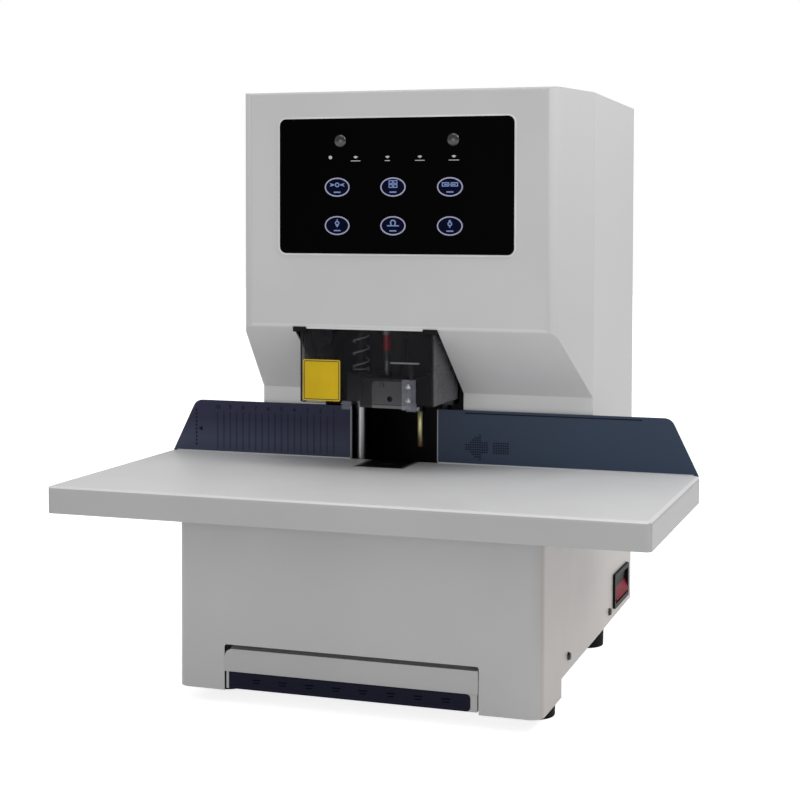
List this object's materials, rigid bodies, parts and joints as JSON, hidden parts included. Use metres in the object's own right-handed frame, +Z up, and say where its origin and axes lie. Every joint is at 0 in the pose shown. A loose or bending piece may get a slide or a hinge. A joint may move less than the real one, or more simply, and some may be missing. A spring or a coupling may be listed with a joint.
{
  "type": "document riveting machine",
  "caption": "Electric desk machine that drills a stack of paper and rivets it with a hot plastic tube: worktable with fence, head, press, drawer.",
  "frame": {"origin": "on the desk under the middle of the machine's box", "axes": "+X to the machine's right as its user sees it, +Y to its back, +Z up"},
  "size_m": [0.42, 0.3496, 0.43],
  "materials": {
    "casing_paint": "satin light grey powder coat",
    "worktable_paint": "satin light grey powder coat",
    "fence_paint": "satin dark blue",
    "sheet_zinc": "zinc plated sheet",
    "rubber_black": "moulded, matt",
    "screw_steel": "bright",
    "black_plastic": "fine matt",
    "guard_smoke": "smoky transparent plastic",
    "clear_plastic": "clear plastic",
    "plate_yellow": "film",
    "panel_black": "gloss",
    "key_print": "printed ring",
    "lamp_lens": "clear lens",
    "dome_plastic": "smoked",
    "board_green": "circuit board",
    "frame_iron": "machined and blackened",
    "column_chrome": "ground and plated",
    "bearing_bronze": "plain",
    "motor_grey": "satin",
    "solenoid_blue": "satin",
    "core_steel": "varnished",
    "rail_steel": "ground",
    "spring_steel": "bright wire",
    "pale_brass": "turned, tarnished",
    "tool_brass": "turned",
    "ceramic_white": "ceramic",
    "sleeve_red": "moulded",
    "drill_steel": "hardened",
    "foot_black": "satin black",
    "pad_white": "moulded",
    "rocker_red": "translucent red",
    "strip_navy": "satin"
  },
  "bodies": {
    "machine": {"base_plate": "sheet_zinc", "rubber_feet": "rubber_black", "foot_screws": "screw_steel", "lower_cover": "casing_paint", "drawer_rails": "sheet_zinc", "worktable": "worktable_paint", "table_rails": "sheet_zinc", "pad_insert": "black_plastic", "fence_left": "fence_paint", "fence_right": "fence_paint", "fence_screws": "screw_steel", "upper_cover": "casing_paint", "head_cover": "casing_paint", "rear_cover": "casing_paint", "cover_screws": "screw_steel", "guard": "guard_smoke", "guard_bumpers": "clear_plastic", "guard_plate": "plate_yellow", "control_panel": "panel_black", "touch_keys": "key_print", "indicator_lamps": "lamp_lens", "indicator_domes": "dome_plastic", "panel_board": "board_green", "switch_housing": "black_plastic", "power_inlet": "black_plastic", "side_frame_left": "frame_iron", "side_frame_right": "frame_iron", "top_bridge": "frame_iron", "column_block": "frame_iron", "guide_columns": "column_chrome", "shaft_bearings": "bearing_bronze", "feed_motor": "motor_grey", "shuttle_rails": "rail_steel", "shuttle_solenoid": "solenoid_blue", "chip_chute": "sheet_zinc", "transformer": "core_steel", "power_board": "board_green"},
    "drawer": {"drawer": "casing_paint", "drawer_strip": "strip_navy"},
    "carriage": {"press_carriage": "foot_black", "column_bushes": "bearing_bronze", "feed_rack": "rail_steel", "press_springs": "spring_steel", "turret_motor": "motor_grey"},
    "turret": {"turret": "frame_iron", "drill_motor": "motor_grey", "rivet_heater": "drill_steel", "rivet_head": "tool_brass", "insulator_plate": "ceramic_white"},
    "spindle": {"drill_chuck": "drill_steel", "bit_sleeve": "sleeve_red", "drill_bit": "drill_steel"},
    "press_foot": {"press_foot": "foot_black", "foot_stop_rod": "pale_brass", "foot_bracket": "screw_steel"},
    "pinion": {"feed_pinion": "tool_brass"},
    "shuttle": {"die_shuttle": "rail_steel", "cutting_pad": "pad_white", "lower_die": "tool_brass"},
    "rocker": {"rocker": "rocker_red"}
  },
  "joints": [
    {"name": "press_feed", "type": "slide", "parent": "machine", "child": "carriage", "axis": [0, 0, -1], "range_m": [0, 0.07]},
    {"name": "foot_lift", "type": "slide", "parent": "carriage", "child": "press_foot", "axis": [0, 0, 1], "range_m": [0, 0.0264], "stiffness_N_per_m": 300, "springref_m": -0.02, "deforming": ["press_springs"]},
    {"name": "turret_turn", "type": "hinge", "parent": "carriage", "child": "turret", "pos_m": [-0.0224, 0.01475, 0.3], "axis": [0, 0, 1], "range_deg": [0, 180]},
    {"name": "spindle_spin", "type": "hinge", "parent": "turret", "child": "spindle", "pos_m": [-0.0224, 0.00275, 0.25], "axis": [0, 0, 1], "continuous": true},
    {"name": "pinion_turn", "type": "hinge", "parent": "machine", "child": "pinion", "pos_m": [-0.0224, 0.06613, 0.313], "axis": [1, 0, 0], "range_deg": [0, 298]},
    {"name": "die_shift", "type": "slide", "parent": "machine", "child": "shuttle", "axis": [-1, 0, 0], "range_m": [0, 0.024]},
    {"name": "drawer_pull", "type": "slide", "parent": "machine", "child": "drawer", "axis": [0, -1, 0], "range_m": [0, 0.12]},
    {"name": "rocker_tilt", "type": "hinge", "parent": "machine", "child": "rocker", "pos_m": [0.127, 0.12725, 0.0464], "axis": [0, 1, 0], "range_deg": [0, 18]}
  ],
  "couplings": [
    {"joint": "pinion_turn", "follows": "press_feed", "rad_per_m": 74.074},
    {"joint": "foot_lift", "follows": "press_feed", "ratio": 0.37714}
  ]
}
